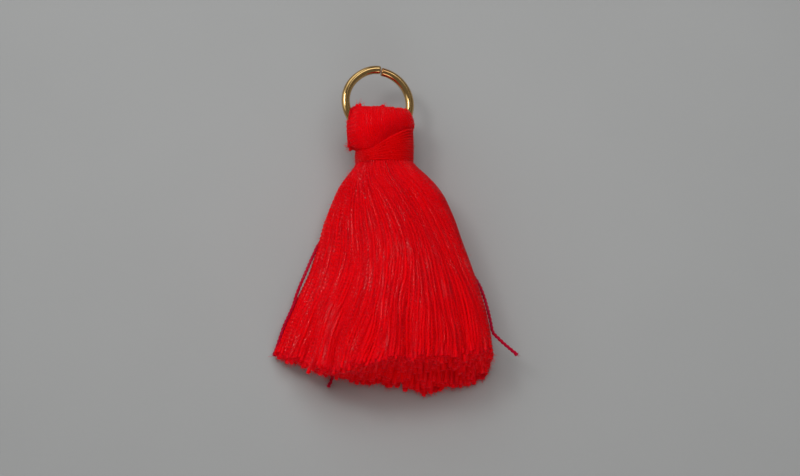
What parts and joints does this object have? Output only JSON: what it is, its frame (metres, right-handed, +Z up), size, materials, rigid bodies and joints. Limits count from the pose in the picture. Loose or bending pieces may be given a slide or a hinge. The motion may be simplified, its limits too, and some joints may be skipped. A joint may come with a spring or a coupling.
{
  "type": "thread tassel on a jump ring",
  "caption": "Small red thread tassel with a folded head, bound neck and splayed cut skirt on a gold-coloured jump ring, lying on its back.",
  "frame": {"origin": "middle of the tassel's base, on the surface it lies on", "axes": "+Y from the cut ends towards the jump ring, +Z up from the surface, +X to the tassel's right seen from above"},
  "size_m": [0.0261, 0.0357, 0.0077],
  "materials": {
    "thread": "twisted sewing-weight thread, soft sheen",
    "binding_thread": "the same thread, wound tight",
    "ring_metal": "bright gold-coloured plating"
  },
  "bodies": {
    "root": {"thread_hank": "thread", "neck_binding": "binding_thread", "jump_ring": "ring_metal", "loose_thread_left": "thread", "loose_thread_right": "thread"}
  },
  "joints": []
}
